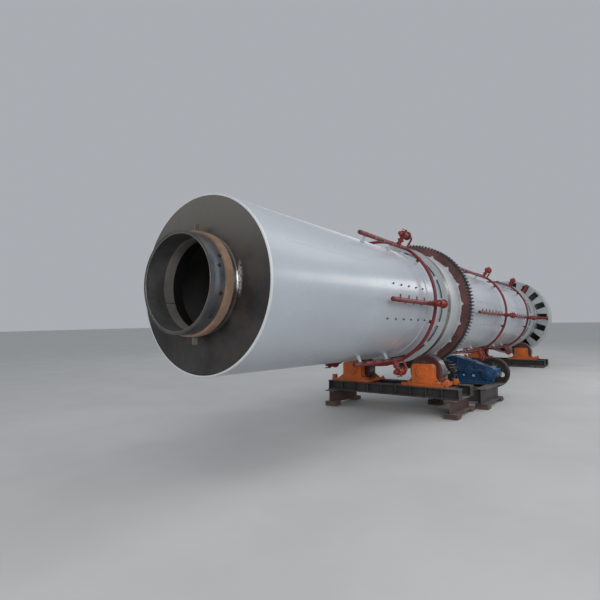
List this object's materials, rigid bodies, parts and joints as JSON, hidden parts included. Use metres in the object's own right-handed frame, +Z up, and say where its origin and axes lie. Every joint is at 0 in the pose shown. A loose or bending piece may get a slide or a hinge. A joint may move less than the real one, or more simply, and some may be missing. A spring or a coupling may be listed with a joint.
{
  "type": "rotary kiln",
  "caption": "Inclined steel rotary kiln on roller stations, with girth gear drive, external air headers and a windowed discharge drum.",
  "frame": {"origin": "on the floor under the middle of the second tyre, on the centre line of the kiln", "axes": "+X from the feed end to the discharge end, +Y to the side away from the drive, +Z up; the kiln axis drops 1.5 degrees towards +X"},
  "size_m": [16.8526, 3.1609, 3.2595],
  "materials": {
    "shell_paint": "satin pale blue-grey paint",
    "end_plate_steel": "dark bare steel plate with a thin dark coat",
    "throat_steel": "bluish dark steel, satin",
    "rust_steel": "rust-brown steel, matt",
    "tyre_paint": "pale grey paint, satin",
    "gear_paint": "maroon-brown primer, satin, near-black teeth",
    "white_paint": "white-grey paint, satin",
    "pipe_paint": "oxide red paint, satin",
    "valve_paint": "oxide red paint, satin",
    "roller_paint": "maroon-brown primer, satin",
    "housing_paint": "orange paint, satin",
    "beam_steel": "dark grey-brown steel, matt",
    "sleeper_steel": "brown rusted steel, matt",
    "reducer_blue": "blue paint, gloss",
    "shaft_steel": "turned steel",
    "pinion_steel": "dark oiled steel",
    "bearing_grey": "pale grey paint, satin",
    "pulley_iron": "dark rusty cast iron"
  },
  "bodies": {
    "foundation": {"station_1_housings": "housing_paint", "station_2_housings": "housing_paint", "station_1_bedplates": "housing_paint", "station_2_bedplates": "housing_paint", "station_1_beams": "beam_steel", "station_2_beams": "beam_steel", "station_1_sleepers": "sleeper_steel", "packing_wedges": "sleeper_steel", "pinion_bearings": "bearing_grey", "reducer_case": "reducer_blue", "reducer_cover": "reducer_blue", "drive_base": "beam_steel"},
    "drum": {"shell_feed_course": "shell_paint", "shell_gear_course": "shell_paint", "shell_middle_course": "shell_paint", "shell_tyre_course": "shell_paint", "shell_discharge_course": "shell_paint", "feed_end_plate": "end_plate_steel", "feed_throat": "throat_steel", "throat_collar": "rust_steel", "throat_inner_ring": "throat_steel", "throat_lugs": "end_plate_steel", "tyre_1": "tyre_paint", "tyre_1_pads": "white_paint", "tyre_2": "tyre_paint", "tyre_2_pads": "white_paint", "gear_seat": "white_paint", "gear_lug_flange": "white_paint", "girth_gear": "gear_paint", "drum_spokes": "tyre_paint", "drum_outer_ring": "tyre_paint", "drum_rim": "white_paint", "drum_end_plate": "end_plate_steel", "discharge_throat": "throat_steel", "ring_main_1": "pipe_paint", "ring_main_2": "pipe_paint", "ring_main_3": "pipe_paint", "headers_1": "pipe_paint", "headers_2": "pipe_paint", "headers_3": "pipe_paint", "header_posts": "white_paint", "valves_1": "valve_paint", "valves_2": "valve_paint", "valves_3": "valve_paint", "discharge_valves": "valve_paint"},
    "roller_1_drive_side": {"rollers_1_drive_side": "roller_paint"},
    "roller_1_far_side": {"rollers_1_far_side": "roller_paint"},
    "roller_2_drive_side": {"rollers_2_drive_side": "roller_paint"},
    "roller_2_far_side": {"rollers_2_far_side": "roller_paint"},
    "pinion_shaft": {"pinion": "pinion_steel"},
    "input_pulley": {"input_shaft": "shaft_steel", "belt_pulley": "pulley_iron"}
  },
  "joints": [
    {"name": "drum_spin", "type": "hinge", "parent": "foundation", "child": "drum", "pos_m": [-13.921, 0, 2.1], "axis": [0.9997, 0, -0.0262], "continuous": true},
    {"name": "roller_1_drive_side_spin", "type": "hinge", "parent": "foundation", "child": "roller_1_drive_side", "pos_m": [-9.07026, -0.7187, 0.72785], "axis": [0.9997, 0, -0.0262], "continuous": true},
    {"name": "roller_1_far_side_spin", "type": "hinge", "parent": "foundation", "child": "roller_1_far_side", "pos_m": [-9.07026, 0.7187, 0.72785], "axis": [0.9997, 0, -0.0262], "continuous": true},
    {"name": "roller_2_drive_side_spin", "type": "hinge", "parent": "foundation", "child": "roller_2_drive_side", "pos_m": [0.00663, -0.7187, 0.49017], "axis": [0.9997, 0, -0.0262], "continuous": true},
    {"name": "roller_2_far_side_spin", "type": "hinge", "parent": "foundation", "child": "roller_2_far_side", "pos_m": [0.00663, 0.7187, 0.49017], "axis": [0.9997, 0, -0.0262], "continuous": true},
    {"name": "pinion_spin", "type": "hinge", "parent": "foundation", "child": "pinion_shaft", "pos_m": [-8.14769, -0.6959, 0.62297], "axis": [0.9997, 0, -0.0262], "continuous": true},
    {"name": "input_spin", "type": "hinge", "parent": "foundation", "child": "input_pulley", "pos_m": [-7.08462, -1.4009, 0.53511], "axis": [0.9997, 0, -0.0262], "continuous": true}
  ],
  "couplings": [
    {"joint": "roller_1_drive_side_spin", "follows": "drum_spin", "ratio": -3.79},
    {"joint": "roller_1_far_side_spin", "follows": "drum_spin", "ratio": -3.79},
    {"joint": "roller_2_drive_side_spin", "follows": "drum_spin", "ratio": -3.79},
    {"joint": "roller_2_far_side_spin", "follows": "drum_spin", "ratio": -3.79},
    {"joint": "pinion_spin", "follows": "drum_spin", "ratio": -5.8},
    {"joint": "input_spin", "follows": "drum_spin", "ratio": -116}
  ]
}
